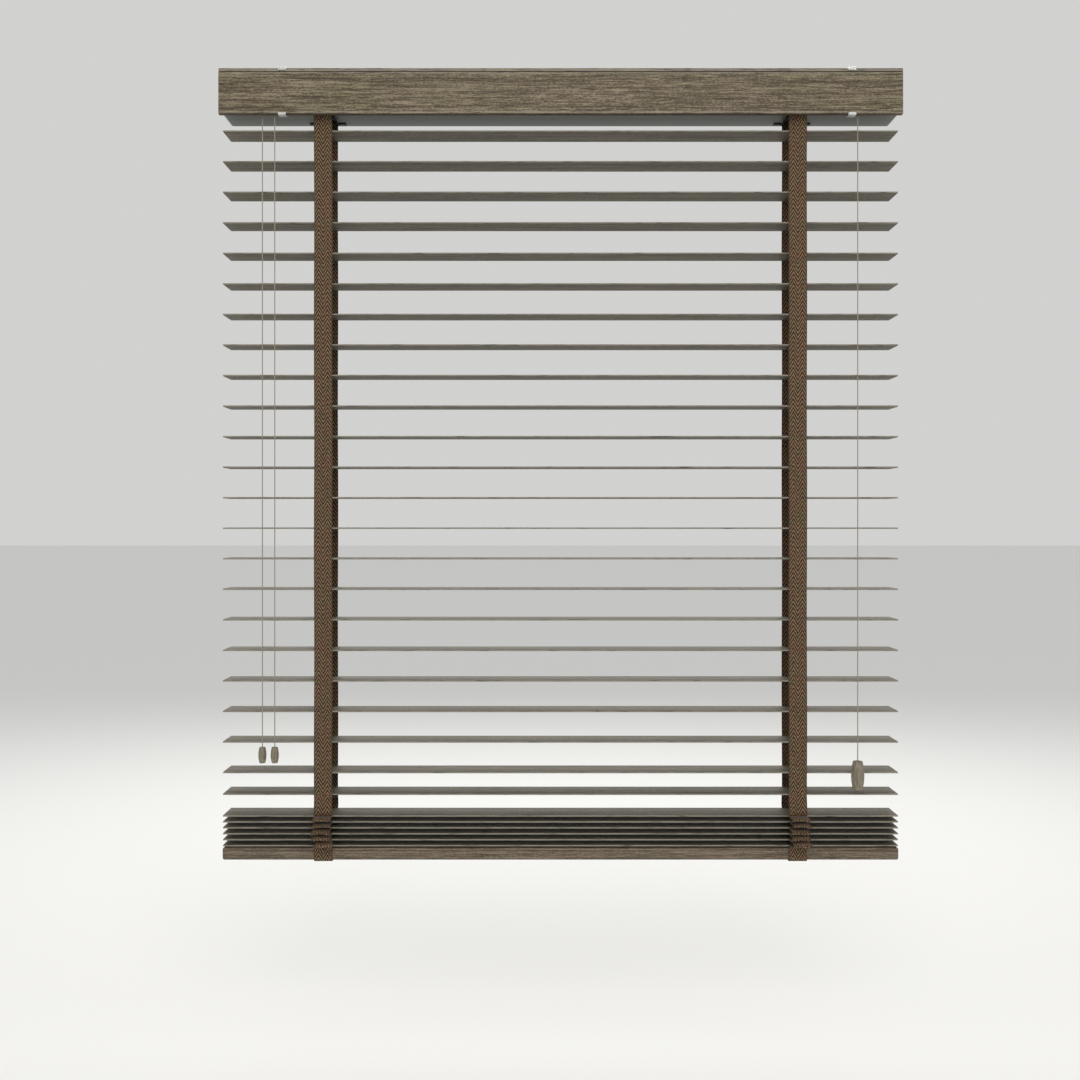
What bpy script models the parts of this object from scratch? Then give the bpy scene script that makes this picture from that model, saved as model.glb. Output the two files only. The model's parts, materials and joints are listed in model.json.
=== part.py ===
"""A wooden venetian blind with fabric ladder tapes, partly raised.

The origin is on the lintel that the blind hangs from, half way between its two
brackets. X runs to the right along the slats, Y towards the window and Z up, so
the room side faces -Y. All sizes are in metres.
"""

from math import asin, cos, pi, radians, sin

import bmesh
import bpy
from mathutils import Matrix, Vector

# ---------------------------------------------------------------- driving sizes
CLEARANCE = 0.0003          # between two pieces that rest against each other
OVERSHOOT = 0.002           # how far a cutter stands out of what it cuts

SLAT_LENGTH = 0.972
SLAT_WIDTH = 0.050
SLAT_THICKNESS = 0.002
SLAT_PITCH = 0.044
SPREAD_SLATS = 22           # these hang a whole pitch apart
LAST_DROP = 0.0313          # from the last of them to the one that hangs lower down alone
STACK_DROP = 0.0312         # from that one to the top of the stack
STACKED_SLATS = 6
STACK_PITCH = 0.00856       # slats lie this far apart on the folded tapes
ROUTE_LENGTH = 0.018        # the hole in each slat for a lift cord, across the slat
ROUTE_WIDTH = 0.007
TILT_LIMIT = radians(65)
SLAT_PER_ROD = 1.0438       # the slats turn a little further than the rod

RAIL_LONGER = 0.002         # than the slats, in all
RAIL_HEIGHT = 0.0174
RAIL_ROUNDING = 0.0028
RAIL_GAP = 0.0031           # from the lowest slat's middle to the rail's top
RAIL_HOLE_RADIUS = 0.0025

TAPE_WIDTH = 0.025
TAPE_THICKNESS = 0.001
TAPE_GAP = 0.0005           # between a tape and the slats' edges
TAPE_INSET = 0.1445         # from the slats' ends to the tapes' middles
TAPE_FOOT = 0.0195          # the length turned in under the bottom rail

CORD_DIAMETER = 0.0014
TILT_CORD_SPACING = 0.0177
TILTER_INSET = 0.0680       # from the slats' left end to the tilter's middle
LOCK_INSET = 0.0607         # from the slats' right end to the cord lock's middle
TILT_TASSEL_TOP = -0.9713
TILT_TASSEL_HEIGHT = 0.0230
TILT_TASSEL_RADIUS = 0.00575
LIFT_TASSEL_TOP = -0.9913
LIFT_TASSEL_HEIGHT = 0.0415
LIFT_TASSEL_RADIUS = 0.0093
TASSEL_PLAY = 0.0010        # between the biggest tassel and the slats' edges
TASSEL_END = 0.72           # the radius of its flat ends, for a swell of 1
TASSEL_SWELL = radians(62)  # half of the arc that its side follows

BRACKET_WALL = 0.0015
BRACKET_LENGTH = 0.030
BRACKET_INSET = 0.036       # from the slats' ends to the brackets' middles
BRACKET_TO_LIP = 0.002      # between its web and the headrail's lips
BRACKET_FLANGE = 0.0055
SCREW_HOLE_RADIUS = 0.0023
SCREW_HOLE_SPACING = 0.018

HEADRAIL_TOP = -0.0066
HEADRAIL_WALL = 0.001
HEADRAIL_LIP = 0.006
HEADRAIL_SHORTER = 0.004    # than the slats, in all
TAPE_TO_WALL = 0.001
FIRST_GAP = 0.00094         # between the headrail and the first slat's edge at its limit

ROD_SIZE = 0.006
ROD_EDGE = 0.0006
ROD_OVERHANG = 0.002        # past the tilter's far side
ROCKER_HUB_RADIUS = 0.0065
ROCKER_ARM = 0.003          # thick at the hub
ROCKER_TIP = 0.0022         # and at the tapes
ROCKER_NARROWER = 0.001     # than the tape
SWING_PLAY = 0.0025         # above and below the rocker at its limit
RUNNING_GAP = 0.0004

CRADLE_WALL = 0.0024
CRADLE_BASE = 0.002
CRADLE_BAR = 0.017          # the bar between the two tape openings, across the headrail
CRADLE_RISE = 0.0085        # of its end walls over the rod's axis
TAPE_SIDE_PLAY = 0.002
CORD_EYE_RADIUS = 0.002
CORD_RUN_HEIGHT = 0.0086    # of the lift cords' run over the headrail's underside
CORD_RUN_SPREAD = 0.0022    # each lift cord keeps this far from the middle
CORD_RUN_PLAY = 0.0012      # round both cords where they pass through a wall
CORD_BEND = 0.004
CORD_END_RISE = 0.003       # of the knotted end over the bottom rail's underside

GEAR_TEETH = 24
GEAR_RADIUS = 0.0104
GEAR_ROOT = 0.0092
GEAR_WIDTH = 0.005
TOOTH_ROOT = 0.30           # half of a tooth at its root and at its tip, in shares of its step
TOOTH_TIP = 0.12
WORM_RADIUS = 0.0042
WORM_LENGTH = 0.018
GEAR_TO_WORM = 0.015        # between the two axes
SHAFT_RADIUS = 0.003
PULLEY_FLANGE = 0.001
PULLEY_RIM = 0.00075        # the flanges stand this far past the cord's middle
TILTER_WALL = 0.003
TILTER_WIDTH = 0.029
TILTER_BACK = 0.018
BOSS_WIDTH = 0.020
BOSS_OVER_FLOOR = 0.003

LOCK_WIDTH = 0.026
LOCK_BACK = 0.008
LOCK_HEIGHT = 0.022
LOCK_ROLLER_RADIUS = 0.004
LOCK_JOURNAL_RADIUS = 0.002
NOSE_WIDTH = 0.0088
NOSE_HEIGHT = 0.0105
NOSE_WALL = 0.0008
NOSE_EYE_RADIUS = 0.0016

VALANCE_LONGER = 0.003      # than the slats, in all
VALANCE_TOP = -0.003
VALANCE_HEIGHT = 0.0655
VALANCE_THICKNESS = 0.008
VALANCE_PLAY = 0.00065      # between it and the tilter's pulley
MOULDING_HEIGHT = 0.0049    # the stepped strip along its top edge
MOULDING_DEPTH = 0.0012
MOULDING_EDGE = 0.0009
VALANCE_ROUNDING = 0.0016

CLIP_WIDTH = 0.011
CLIP_WALL = 0.0013
CLIP_LIP = 0.0022
CLIP_FROM_RIM = 0.0063      # from the left clip to the tilter's pulley
CLIP_FROM_NOSE = 0.0006     # from the right clip to the cord lock's nose
CLIP_FOOT_RISE = 0.010      # from the headrail's underside to the clip's lower foot

END_CAP_WALL = 0.0015
END_CAP_PLUG = 0.008

# ------------------------------------------------------------ what follows on
HALF = SLAT_LENGTH / 2
TAPE_X = HALF - TAPE_INSET
TAPE_Y = SLAT_WIDTH / 2 + TAPE_GAP + TAPE_THICKNESS / 2
TILTER_X = -(HALF - TILTER_INSET)
LOCK_X = HALF - LOCK_INSET

RAIL_LENGTH = SLAT_LENGTH + RAIL_LONGER
VALANCE_LENGTH = SLAT_LENGTH + VALANCE_LONGER
HEADRAIL_LENGTH = SLAT_LENGTH - HEADRAIL_SHORTER

ROD_LIMIT = TILT_LIMIT / SLAT_PER_ROD
HEADRAIL_INSIDE = TAPE_Y + TAPE_THICKNESS / 2 + TAPE_TO_WALL
HEADRAIL_FRONT = -(HEADRAIL_INSIDE + HEADRAIL_WALL)
LIP_EDGE = HEADRAIL_INSIDE + HEADRAIL_WALL - HEADRAIL_LIP
SWING = TAPE_Y * sin(ROD_LIMIT) + ROCKER_ARM / 2
ROD_Z = HEADRAIL_TOP - HEADRAIL_WALL - SWING - SWING_PLAY
FLOOR_Z = ROD_Z - SWING - SWING_PLAY    # the inner face of the headrail's bottom
HEADRAIL_BOTTOM = FLOOR_Z - HEADRAIL_WALL
CORD_RUN_Z = HEADRAIL_BOTTOM + CORD_RUN_HEIGHT

FIRST_DROP = SLAT_WIDTH / 2 * sin(TILT_LIMIT) + FIRST_GAP
SLAT_Z = [HEADRAIL_BOTTOM - FIRST_DROP - SLAT_PITCH * i for i in range(SPREAD_SLATS)]
SLAT_Z.append(SLAT_Z[-1] - LAST_DROP)
SLAT_Z += [SLAT_Z[-1] - STACK_DROP - STACK_PITCH * i for i in range(STACKED_SLATS)]
RAIL_TOP = SLAT_Z[-1] - RAIL_GAP
RAIL_BOTTOM = RAIL_TOP - RAIL_HEIGHT

CORD_RADIUS = CORD_DIAMETER / 2
CORD_RUN_HALF = CORD_RUN_SPREAD + CORD_RADIUS + CORD_RUN_PLAY
CORD_Y = -(SLAT_WIDTH / 2 + TASSEL_PLAY + LIFT_TASSEL_RADIUS)
PULLEY_RADIUS = TILT_CORD_SPACING / 2   # to the cord's middle
GROOVE_RADIUS = PULLEY_RADIUS - CORD_RADIUS - CLEARANCE
PULLEY_HALF = CORD_RADIUS + CLEARANCE + PULLEY_FLANGE
WORM_Z = ROD_Z - GEAR_TO_WORM
BOSS_HEIGHT = 2 * (WORM_Z - FLOOR_Z - BOSS_OVER_FLOOR)
NOSE_Z = FLOOR_Z + CLEARANCE + HEADRAIL_WALL + NOSE_HEIGHT / 2     # of the nose's middle
VALANCE_BACK = CORD_Y - PULLEY_HALF - VALANCE_PLAY
VALANCE_FRONT = VALANCE_BACK - VALANCE_THICKNESS
BOSS_FRONT = CORD_Y + PULLEY_HALF + RUNNING_GAP


# ----------------------------------------------------------------- the helpers
def start_empty():
    """Removes what the scene holds and makes the two collections."""
    for old in list(bpy.data.objects):
        bpy.data.objects.remove(old)
    made = []
    for name in ("venetian_blind", "cutters"):
        collection = bpy.data.collections.new(name)
        bpy.context.scene.collection.children.link(collection)
        made.append(collection)
    return made


PARTS, CUTTERS = start_empty()


def material(name, colour, roughness, metallic=0.0):
    made = bpy.data.materials.new(name)
    made.use_nodes = True
    surface = made.node_tree.nodes["Principled BSDF"]
    surface.inputs["Base Color"].default_value = (*colour, 1)
    surface.inputs["Roughness"].default_value = roughness
    surface.inputs["Metallic"].default_value = metallic
    return made


SLAT_WOOD = material("slat_wood", (0.165, 0.140, 0.108), 0.55)
TRIM_WOOD = material("trim_wood", (0.182, 0.146, 0.102), 0.55)
TASSEL_WOOD = material("tassel_wood", (0.33, 0.27, 0.19), 0.5)
RAIL_PAINT = material("headrail_paint", (0.10, 0.105, 0.088), 0.4)
STEEL = material("zinc_steel", (0.55, 0.56, 0.57), 0.35, 1.0)
BLACK_PLASTIC = material("black_plastic", (0.025, 0.025, 0.025), 0.5)
CLEAR_PLASTIC = material("clear_plastic", (0.85, 0.86, 0.85), 0.15)
TAPE_FABRIC = material("tape_fabric", (0.165, 0.088, 0.045), 0.9)
CORD_FABRIC = material("cord_fabric", (0.50, 0.44, 0.33), 0.9)


def place(made, name, finish, collection=PARTS):
    """Names an object and gives it its material and its collection."""
    made.name = made.data.name = name
    for holder in list(made.users_collection):
        holder.objects.unlink(made)
    collection.objects.link(made)
    if finish:
        made.data.materials.clear()
        made.data.materials.append(finish)
    return made


def as_cutter(made):
    place(made, "cut_" + made.name, None, CUTTERS)
    made.hide_render = True
    made.display_type = "WIRE"
    return made


def box(name, low, high, finish=None):
    """A box between two corners, with its origin in its middle."""
    low, high = Vector(low), Vector(high)
    bpy.ops.mesh.primitive_cube_add(size=1, location=(low + high) / 2)
    made = bpy.context.object
    made.data.transform(Matrix.Diagonal((*(high - low), 1)))
    return place(made, name, finish)


def rod(name, start, end, radius, finish=None, sides=16):
    """A round bar from one point to another."""
    start, end = Vector(start), Vector(end)
    bpy.ops.mesh.primitive_cylinder_add(
        vertices=sides, radius=radius, depth=(end - start).length, location=(start + end) / 2
    )
    made = bpy.context.object
    made.rotation_euler = (end - start).to_track_quat("Z", "Y").to_euler()
    return place(made, name, finish)


def outline_mesh(name, outline, depth):
    """A closed outline in its own XY plane, made solid half its depth to each side."""
    curve = bpy.data.curves.new(name, "CURVE")
    curve.dimensions = "2D"
    curve.fill_mode = "BOTH"
    curve.extrude = depth / 2
    spline = curve.splines.new("POLY")
    spline.points.add(len(outline) - 1)
    for point, (x, y) in zip(spline.points, outline):
        point.co = (x, y, 0, 1)
    spline.use_cyclic_u = True
    holder = bpy.data.objects.new(name, curve)
    bpy.context.scene.collection.objects.link(holder)
    return to_mesh(holder)


def to_mesh(holder):
    """The mesh of a curve object, with its caps welded; the curve goes."""
    evaluated = holder.evaluated_get(bpy.context.evaluated_depsgraph_get())
    mesh = bpy.data.meshes.new_from_object(evaluated)
    bpy.data.objects.remove(holder)
    work = bmesh.new()
    work.from_mesh(mesh)
    bmesh.ops.remove_doubles(work, verts=work.verts, dist=0.000001)
    bmesh.ops.recalc_face_normals(work, faces=work.faces)
    work.to_mesh(mesh)
    work.free()
    return mesh


# The outline's own X and Y become the blind's Y and Z, and its depth runs along X.
ALONG_X = Matrix(((0, 0, 1, 0), (1, 0, 0, 0), (0, 1, 0, 0), (0, 0, 0, 1)))


def bar(name, outline, low_x, high_x, finish=None, origin=(0, 0)):
    """An outline in the YZ plane, relative to origin, run from low_x to high_x."""
    mesh = outline_mesh(name, outline, high_x - low_x)
    mesh.transform(ALONG_X)
    made = bpy.data.objects.new(name, mesh)
    made.location = ((low_x + high_x) / 2, *origin)
    return place(made, name, finish)


def folded(name, line, thickness, low_x, high_x, finish):
    """Sheet metal: the line through the middle of its wall, in the YZ plane, run along X."""
    mesh = bpy.data.meshes.new(name)
    work = bmesh.new()
    points = [work.verts.new((low_x, y, z)) for y, z in line]
    edges = [work.edges.new(pair) for pair in zip(points, points[1:])]
    grown = bmesh.ops.extrude_edge_only(work, edges=edges)
    moved = [v for v in grown["geom"] if isinstance(v, bmesh.types.BMVert)]
    bmesh.ops.translate(work, verts=moved, vec=(high_x - low_x, 0, 0))
    bmesh.ops.recalc_face_normals(work, faces=work.faces)
    work.to_mesh(mesh)
    work.free()
    made = place(bpy.data.objects.new(name, mesh), name, finish)
    wall = made.modifiers.new("wall", "SOLIDIFY")
    wall.thickness = thickness
    wall.offset = 0
    wall.use_even_offset = True
    return made


def turned(name, profile, location, finish, towards="Z", steps=20):
    """A turned piece: (radius, height) points from its top to its bottom."""
    mesh = bpy.data.meshes.new(name)
    points = [(radius, 0, height) for radius, height in profile]
    mesh.from_pydata(points, [(i, i + 1) for i in range(len(points) - 1)], [])
    made = place(bpy.data.objects.new(name, mesh), name, finish)
    made.location = location
    if towards == "Y":
        made.rotation_euler = (-pi / 2, 0, 0)
    turn = made.modifiers.new("turn", "SCREW")
    turn.steps = turn.render_steps = steps
    turn.use_merge_vertices = True
    turn.merge_threshold = 0.00001
    return made


def boolean(made, other, operation):
    step = made.modifiers.new(operation.lower(), "BOOLEAN")
    step.operation = operation
    step.object = as_cutter(other)


def cut(made, *others):
    for other in others:
        boolean(made, other, "DIFFERENCE")


def join(made, *others):
    for other in others:
        boolean(made, other, "UNION")


def arc(middle, radius, start, end, steps):
    """Points on an arc, its ends among them; angles in degrees, anticlockwise."""
    angles = [radians(start + (end - start) * i / steps) for i in range(steps + 1)]
    return [(middle[0] + radius * cos(a), middle[1] + radius * sin(a)) for a in angles]


def rounded(width, height, radius, steps):
    """The outline of a rectangle round the origin, with round corners."""
    x, y = width / 2 - radius, height / 2 - radius
    corners = [((x, y), 0), ((-x, y), 90), ((-x, -y), 180), ((x, -y), 270)]
    outline = []
    for middle, start in corners:
        for point in arc(middle, radius, start, start + 90, steps):
            if not outline or (Vector(point) - Vector(outline[-1])).length > 1e-7:
                outline.append(point)
    if (Vector(outline[0]) - Vector(outline[-1])).length < 1e-7:
        outline.pop()
    return outline


def cord(name, line):
    """A cord's tube along the points of a line."""
    curve = bpy.data.curves.new(name, "CURVE")
    curve.dimensions = "3D"
    curve.bevel_depth = CORD_RADIUS
    curve.bevel_resolution = 2
    curve.use_fill_caps = True
    spline = curve.splines.new("POLY")
    spline.points.add(len(line) - 1)
    for point, place_on_line in zip(spline.points, line):
        point.co = (*place_on_line, 1)
    made = bpy.data.objects.new(name, curve)
    return place(made, name, CORD_FABRIC)


# ------------------------------------------------------- slats and bottom rail
def slat_mesh():
    """One slat round its own middle, with its two route holes cut."""
    outline = rounded(SLAT_WIDTH, SLAT_THICKNESS, SLAT_THICKNESS / 2, 3)
    blank = bar("slat_blank", outline, -HALF, HALF)
    route = rounded(ROUTE_WIDTH, ROUTE_LENGTH, ROUTE_WIDTH / 2, 3)
    for side in (-1, 1):
        hole = bpy.data.objects.new(
            "route_hole", outline_mesh("route_hole", route, 3 * SLAT_THICKNESS)
        )
        hole.location.x = side * TAPE_X
        cut(blank, hole)
    evaluated = blank.evaluated_get(bpy.context.evaluated_depsgraph_get())
    mesh = bpy.data.meshes.new_from_object(evaluated)
    bpy.data.objects.remove(blank)
    return mesh


def make_slats():
    mesh = slat_mesh()
    for number, height in enumerate(SLAT_Z, start=1):
        name = f"slat_{number:02d}"
        made = bpy.data.objects.new(name, mesh)
        made.location.z = height
        PARTS.objects.link(made)
    mesh.name = "slat"
    mesh.materials.clear()
    mesh.materials.append(SLAT_WOOD)


def make_bottom_rail():
    outline = rounded(SLAT_WIDTH, RAIL_HEIGHT, RAIL_ROUNDING, 3)
    middle = (RAIL_TOP + RAIL_BOTTOM) / 2
    rail = bar(
        "bottom_rail", outline, -RAIL_LENGTH / 2, RAIL_LENGTH / 2, TRIM_WOOD, (0, middle)
    )
    for side in (-1, 1):
        top = (side * TAPE_X, 0, RAIL_TOP + RAIL_HEIGHT)
        bottom = (side * TAPE_X, 0, RAIL_BOTTOM - RAIL_HEIGHT)
        cut(rail, rod("rail_hole", bottom, top, RAIL_HOLE_RADIUS, sides=12))


# ------------------------------------------------- headrail and what closes it
def make_headrail():
    inside = HEADRAIL_INSIDE + HEADRAIL_WALL / 2
    top = HEADRAIL_TOP - HEADRAIL_WALL / 2
    bottom = HEADRAIL_BOTTOM + HEADRAIL_WALL / 2
    line = [(-LIP_EDGE, top), (-inside, top), (-inside, bottom)]
    line += [(-y, z) for y, z in reversed(line)]
    ends = (-HEADRAIL_LENGTH / 2, HEADRAIL_LENGTH / 2)
    rail = folded("headrail", line, HEADRAIL_WALL, *ends, RAIL_PAINT)
    half = TAPE_WIDTH / 2 + TAPE_SIDE_PLAY
    reach = HEADRAIL_INSIDE - HEADRAIL_WALL / 2
    for side in (-1, 1):
        x = side * TAPE_X
        low = (x - half, -reach, HEADRAIL_BOTTOM - OVERSHOOT)
        cut(rail, box("tape_window", low, (x + half, reach, FLOOR_Z + OVERSHOOT)))
    for x, width, height, middle in (
        (TILTER_X, BOSS_WIDTH, BOSS_HEIGHT, WORM_Z),
        (LOCK_X, NOSE_WIDTH, NOSE_HEIGHT, NOSE_Z),
    ):
        half_x = width / 2 + CLEARANCE
        half_z = height / 2 + CLEARANCE
        low = (x - half_x, HEADRAIL_FRONT - OVERSHOOT, middle - half_z)
        high = (x + half_x, HEADRAIL_FRONT + HEADRAIL_WALL + OVERSHOOT, middle + half_z)
        cut(rail, box("front_window", low, high))


def make_end_cap(name, side):
    """A pressed cap: a plate over the channel's end and a hollow plug inside it."""
    end = HEADRAIL_LENGTH / 2 + CLEARANCE
    flat = sorted((side * end, side * (end + END_CAP_WALL)))
    plate = box(
        name,
        (flat[0], HEADRAIL_FRONT, HEADRAIL_BOTTOM),
        (flat[1], -HEADRAIL_FRONT, HEADRAIL_TOP),
        STEEL,
    )
    reach = HEADRAIL_INSIDE - CLEARANCE
    low_z = FLOOR_Z + CLEARANCE
    high_z = HEADRAIL_TOP - HEADRAIL_WALL - CLEARANCE
    deep = sorted((side * (end + END_CAP_WALL / 2), side * (end - END_CAP_PLUG)))
    plug = box("plug", (deep[0], -reach, low_z), (deep[1], reach, high_z))
    join(plate, plug)
    wall = END_CAP_WALL
    inner = sorted((side * end, side * (end - 2 * END_CAP_PLUG)))
    low = (inner[0], -reach + wall, low_z + wall)
    cut(plate, box("hollow", low, (inner[1], reach - wall, high_z - wall)))


def make_bracket(name, side):
    """A sheet-steel clip that is screwed to the lintel and carries the channel by its lips."""
    x = side * (HALF - BRACKET_INSET)
    half = BRACKET_LENGTH / 2
    web = LIP_EDGE - BRACKET_TO_LIP - BRACKET_WALL / 2
    flange = HEADRAIL_TOP - HEADRAIL_WALL - CLEARANCE - BRACKET_WALL / 2
    outer = web + BRACKET_FLANGE
    top = -BRACKET_WALL / 2
    line = [(-outer, flange), (-web, flange), (-web, top)]
    line += [(-y, z) for y, z in reversed(line)]
    bracket = folded(name, line, BRACKET_WALL, x - half, x + half, STEEL)
    for step in (-1, 1):
        y = step * SCREW_HOLE_SPACING / 2
        through = ((x, y, -3 * BRACKET_WALL), (x, y, 2 * BRACKET_WALL))
        cut(bracket, rod("screw_hole", *through, SCREW_HOLE_RADIUS, sides=12))


# ------------------------------------------------------ tilt rod and its bearings
def rod_hole(x_low, x_high):
    """A square hole round the rod, which grips the pieces that turn with it."""
    half = ROD_SIZE / 2 + CLEARANCE
    return box("rod_hole", (x_low, -half, ROD_Z - half), (x_high, half, ROD_Z + half))


def make_tilt_rod():
    low_x = TILTER_X - TILTER_WIDTH / 2 - ROD_OVERHANG
    high_x = TAPE_X + TAPE_WIDTH
    half = ROD_SIZE / 2
    made = box(
        "tilt_rod", (low_x, -half, ROD_Z - half), (high_x, half, ROD_Z + half), STEEL
    )
    edge = made.modifiers.new("edge", "BEVEL")
    edge.width = ROD_EDGE
    edge.segments = 1


def make_rocker(name, side):
    """The lever that lifts one tape and lowers the other as the rod turns."""
    x = side * TAPE_X
    half = (TAPE_WIDTH - ROCKER_NARROWER) / 2
    tip = TAPE_Y - TAPE_THICKNESS / 2 - CLEARANCE
    end = ROCKER_TIP / 2
    start = asin(ROCKER_ARM / 2 / ROCKER_HUB_RADIUS) * 180 / pi
    outline = [(tip, -end), (tip, end)]
    outline += arc((0, 0), ROCKER_HUB_RADIUS, start, 180 - start, 8)
    outline += [(-tip, end), (-tip, -end)]
    outline += arc((0, 0), ROCKER_HUB_RADIUS, 180 + start, 360 - start, 8)
    made = bar(name, outline, x - half, x + half, BLACK_PLASTIC, (0, ROD_Z))
    cut(made, rod_hole(x - half - OVERSHOOT, x + half + OVERSHOOT))


def bearing_radius():
    """A round hole that the square rod turns in."""
    return (ROD_SIZE - ROD_EDGE) / 2 * 2**0.5 + ROD_EDGE / 2 + RUNNING_GAP


def make_cradle(name, side):
    """The rod's bearing, which also leads the tapes and the lift cord out below."""
    x = side * TAPE_X
    inner = TAPE_WIDTH / 2 + TAPE_SIDE_PLAY
    outer = inner + CRADLE_WALL
    reach = HEADRAIL_INSIDE - CLEARANCE
    floor = FLOOR_Z + CLEARANCE
    top = ROD_Z + CRADLE_RISE
    cradle = box(name, (x - outer, -reach, floor), (x + outer, reach, top), BLACK_PLASTIC)
    base = floor + CRADLE_BASE
    room = box(
        "rocker_room", (x - inner, -2 * reach, base), (x + inner, 2 * reach, 2 * top - base)
    )
    cut(cradle, room)
    for step in (-1, 1):
        near = step * CRADLE_BAR / 2
        window_y = sorted((near, step * 2 * reach))
        low = (x - inner, window_y[0], floor - CRADLE_BASE)
        high = (x + inner, window_y[1], base + CRADLE_BASE)
        cut(cradle, box("tape_slot", low, high))
    far = 2 * outer
    bearing = rod(
        "bearing_hole", (x - far, 0, ROD_Z), (x + far, 0, ROD_Z), bearing_radius()
    )
    eye = rod(
        "cord_eye",
        (x, 0, floor - CRADLE_BASE),
        (x, 0, base + CRADLE_BASE),
        CORD_EYE_RADIUS,
        sides=12,
    )
    half = CORD_RUN_HALF
    low = (x - far, -half, CORD_RUN_Z - half)
    run = box("cord_run", low, (x + far, half, CORD_RUN_Z + half))
    cut(cradle, bearing, eye, run)


# ----------------------------------------------------------------- the tilter
def gear_outline():
    """A spur outline with plain trapezium teeth."""
    step = 360 / GEAR_TEETH
    outline = []
    for tooth in range(GEAR_TEETH):
        middle = tooth * step
        for radius, offset in (
            (GEAR_ROOT, -TOOTH_ROOT),
            (GEAR_RADIUS, -TOOTH_TIP),
            (GEAR_RADIUS, TOOTH_TIP),
            (GEAR_ROOT, TOOTH_ROOT),
        ):
            angle = radians(middle + offset * step)
            outline.append((radius * cos(angle), radius * sin(angle)))
    return outline


def make_tilter_gear():
    half = GEAR_WIDTH / 2
    ends = (TILTER_X - half, TILTER_X + half)
    made = bar("tilter_gear", gear_outline(), *ends, BLACK_PLASTIC, (0, ROD_Z))
    cut(made, rod_hole(ends[0] - OVERSHOOT, ends[1] + OVERSHOOT))


def make_tilter_worm():
    """The worm, its shaft and the pulley that the tilt cords turn, in one piece."""
    worm = WORM_LENGTH / 2
    tail = TILTER_BACK - CLEARANCE
    rim = PULLEY_RADIUS + PULLEY_RIM
    groove = CORD_RADIUS + CLEARANCE
    back, front = CORD_Y + PULLEY_HALF, CORD_Y - PULLEY_HALF
    profile = [
        (0, tail),
        (SHAFT_RADIUS, tail),
        (SHAFT_RADIUS, worm),
        (WORM_RADIUS, worm),
        (WORM_RADIUS, -worm),
        (SHAFT_RADIUS, -worm),
        (SHAFT_RADIUS, back),
        (rim, back),
        (rim, CORD_Y + groove),
        (GROOVE_RADIUS, CORD_Y + groove),
        (GROOVE_RADIUS, CORD_Y - groove),
        (rim, CORD_Y - groove),
        (rim, front),
        (0, front),
    ]
    turned("tilter_worm", profile, (TILTER_X, 0, WORM_Z), BLACK_PLASTIC, "Y", 24)


def make_tilter_housing():
    half = TILTER_WIDTH / 2
    front = -(HEADRAIL_INSIDE - CLEARANCE)
    floor = FLOOR_Z + CLEARANCE
    top = ROD_Z + GEAR_RADIUS + TILTER_WALL
    x = TILTER_X
    housing = box(
        "tilter_housing", (x - half, front, floor), (x + half, TILTER_BACK, top), BLACK_PLASTIC
    )
    boss = box(
        "boss",
        (x - BOSS_WIDTH / 2, BOSS_FRONT, WORM_Z - BOSS_HEIGHT / 2),
        (x + BOSS_WIDTH / 2, front + TILTER_WALL, WORM_Z + BOSS_HEIGHT / 2),
    )
    join(housing, boss)
    wall = TILTER_WALL
    low = (x - half + wall, front + wall, WORM_Z - WORM_RADIUS - wall)
    room = box("gear_room", low, (x + half - wall, TILTER_BACK - wall, 2 * top - floor))
    far = TILTER_WIDTH
    bearing = rod(
        "bearing_hole", (x - far, 0, ROD_Z), (x + far, 0, ROD_Z), bearing_radius()
    )
    shaft = rod(
        "shaft_hole",
        (x, 2 * front, WORM_Z),
        (x, 2 * TILTER_BACK, WORM_Z),
        SHAFT_RADIUS + RUNNING_GAP,
    )
    cut(housing, room, bearing, shaft)


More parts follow.
